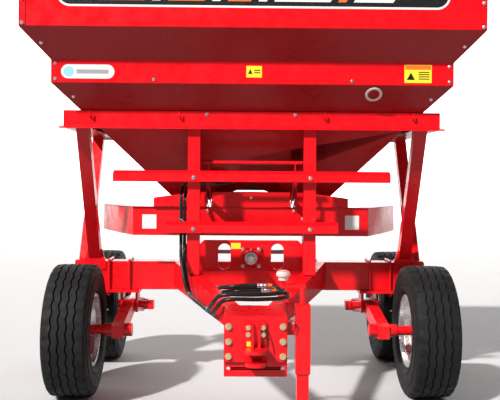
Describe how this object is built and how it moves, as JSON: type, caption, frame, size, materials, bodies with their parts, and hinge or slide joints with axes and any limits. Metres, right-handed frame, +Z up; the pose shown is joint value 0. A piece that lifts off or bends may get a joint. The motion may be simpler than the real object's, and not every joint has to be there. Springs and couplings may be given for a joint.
{
  "type": "tow behind spreader",
  "caption": "Trailed twin-disc spreader with a W-bottomed hopper on tandem bogies, shaft drive, slide gates, steps, A-frame drawbar and parking jack.",
  "frame": {"origin": "on the ground at the middle of the whole machine's base rectangle", "axes": "+Z up; the hitch points towards -Y; +X is to the right when the machine is seen from its hitch, looking towards +Y"},
  "size_m": [2.83, 2.972, 2.66],
  "materials": {
    "red_paint": "gloss",
    "shaded_red_paint": "gloss",
    "yellow_zinc": "passivated",
    "bare_steel": "satin",
    "hub_iron": "painted",
    "silver_rim": "satin",
    "tyre_rubber": "matte",
    "black_steel": "satin",
    "hose_rubber": "satin",
    "coupler_steel": "satin"
  },
  "bodies": {
    "chassis": {"crossbeam": "red_paint", "drawbar_left": "red_paint", "drawbar_right": "red_paint", "drawbar_head": "red_paint", "hitch_plate": "red_paint", "hitch_clevis": "red_paint", "hitch_bolts": "yellow_zinc", "pto_plate": "red_paint", "pto_bearing": "red_paint", "post_left": "red_paint", "post_right": "red_paint", "step_upper": "red_paint", "step_lower": "red_paint", "legs_left": "red_paint", "legs_right": "red_paint", "rail_front": "red_paint", "rail_rear": "red_paint", "rail_left": "red_paint", "rail_right": "red_paint", "hopper_front": "red_paint", "hopper_rear": "red_paint", "hopper_left": "red_paint", "hopper_right": "red_paint", "hopper_ridge": "shaded_red_paint", "outlet_necks": "shaded_red_paint", "shield_skirt": "red_paint", "shield_top": "red_paint", "front_cover": "red_paint", "bogie_saddles": "red_paint", "saddle_ubolts": "red_paint", "gear_cases": "shaded_red_paint", "gate_valve_box": "black_steel", "hydraulic_hoses": "hose_rubber", "hose_couplers": "coupler_steel", "jack_tube": "red_paint"},
    "bogie_left": {"walking_beam_left": "red_paint"},
    "bogie_right": {"walking_beam_right": "red_paint"},
    "wheel_front_left": {"tyre_front_left": "tyre_rubber", "rim_front_left": "silver_rim", "hub_front_left": "hub_iron"},
    "wheel_rear_left": {"tyre_rear_left": "tyre_rubber", "rim_rear_left": "silver_rim", "hub_rear_left": "hub_iron"},
    "wheel_front_right": {"tyre_front_right": "tyre_rubber", "rim_front_right": "silver_rim", "hub_front_right": "hub_iron"},
    "wheel_rear_right": {"tyre_rear_right": "tyre_rubber", "rim_rear_right": "silver_rim", "hub_rear_right": "hub_iron"},
    "input_shaft": {"pto_shaft": "bare_steel"},
    "cross_drive": {"cross_shaft": "bare_steel"},
    "spinner_left": {"disc_left": "bare_steel", "vanes_left": "bare_steel"},
    "spinner_right": {"disc_right": "bare_steel", "vanes_right": "bare_steel"},
    "gate_control": {"control_shaft": "red_paint"},
    "slide_gate_left": {"gate_left": "shaded_red_paint"},
    "slide_gate_right": {"gate_right": "shaded_red_paint"},
    "jack_stem": {"jack_leg": "red_paint"},
    "jack_handle": {"jack_crank": "red_paint"}
  },
  "joints": [
    {"name": "bogie_left_pivot", "type": "hinge", "parent": "chassis", "child": "bogie_left", "pos_m": [-0.86, 0.514, 0.505], "axis": [1, 0, 0], "range_deg": [-8, 8]},
    {"name": "wheel_front_left_roll", "type": "hinge", "parent": "bogie_left", "child": "wheel_front_left", "pos_m": [-1.135, -0.036, 0.422], "axis": [1, 0, 0], "continuous": true},
    {"name": "wheel_rear_left_roll", "type": "hinge", "parent": "bogie_left", "child": "wheel_rear_left", "pos_m": [-1.135, 1.064, 0.422], "axis": [1, 0, 0], "continuous": true},
    {"name": "bogie_right_pivot", "type": "hinge", "parent": "chassis", "child": "bogie_right", "pos_m": [0.86, 0.514, 0.505], "axis": [1, 0, 0], "range_deg": [-8, 8]},
    {"name": "wheel_front_right_roll", "type": "hinge", "parent": "bogie_right", "child": "wheel_front_right", "pos_m": [1.135, -0.036, 0.422], "axis": [1, 0, 0], "continuous": true},
    {"name": "wheel_rear_right_roll", "type": "hinge", "parent": "bogie_right", "child": "wheel_rear_right", "pos_m": [1.135, 1.064, 0.422], "axis": [1, 0, 0], "continuous": true},
    {"name": "input_shaft_turn", "type": "hinge", "parent": "chassis", "child": "input_shaft", "pos_m": [0, 0.574, 0.88], "axis": [0, 1, 0], "continuous": true},
    {"name": "cross_drive_turn", "type": "hinge", "parent": "chassis", "child": "cross_drive", "pos_m": [0, 0.574, 0.88], "axis": [1, 0, 0], "continuous": true},
    {"name": "spinner_left_turn", "type": "hinge", "parent": "chassis", "child": "spinner_left", "pos_m": [-0.421, 0.574, 1.06], "axis": [0, 0, 1], "continuous": true},
    {"name": "spinner_right_turn", "type": "hinge", "parent": "chassis", "child": "spinner_right", "pos_m": [0.421, 0.574, 1.06], "axis": [0, 0, 1], "continuous": true},
    {"name": "gate_control_turn", "type": "hinge", "parent": "chassis", "child": "gate_control", "pos_m": [0, 0.014, 1.512], "axis": [1, 0, 0], "range_deg": [0, 24]},
    {"name": "slide_gate_left_slide", "type": "slide", "parent": "chassis", "child": "slide_gate_left", "axis": [0, 1, 0], "range_m": [0, 0.0702]},
    {"name": "slide_gate_right_slide", "type": "slide", "parent": "chassis", "child": "slide_gate_right", "axis": [0, 1, 0], "range_m": [0, 0.0702]},
    {"name": "jack_stem_slide", "type": "slide", "parent": "chassis", "child": "jack_stem", "axis": [0, 0, 1], "range_m": [0, 0.24]},
    {"name": "jack_handle_turn", "type": "hinge", "parent": "chassis", "child": "jack_handle", "pos_m": [0.229, -1.316, 0.88], "axis": [0, 0, 1], "range_deg": [0, 7205]}
  ],
  "couplings": [
    {"joint": "cross_drive_turn", "follows": "input_shaft_turn", "ratio": 1},
    {"joint": "spinner_left_turn", "follows": "input_shaft_turn", "ratio": -1},
    {"joint": "spinner_right_turn", "follows": "input_shaft_turn", "ratio": 1},
    {"joint": "slide_gate_left_slide", "follows": "gate_control_turn", "m_per_rad": 0.1674},
    {"joint": "slide_gate_right_slide", "follows": "gate_control_turn", "m_per_rad": 0.1674},
    {"joint": "jack_handle_turn", "follows": "jack_stem_slide", "rad_per_m": 523.6}
  ]
}
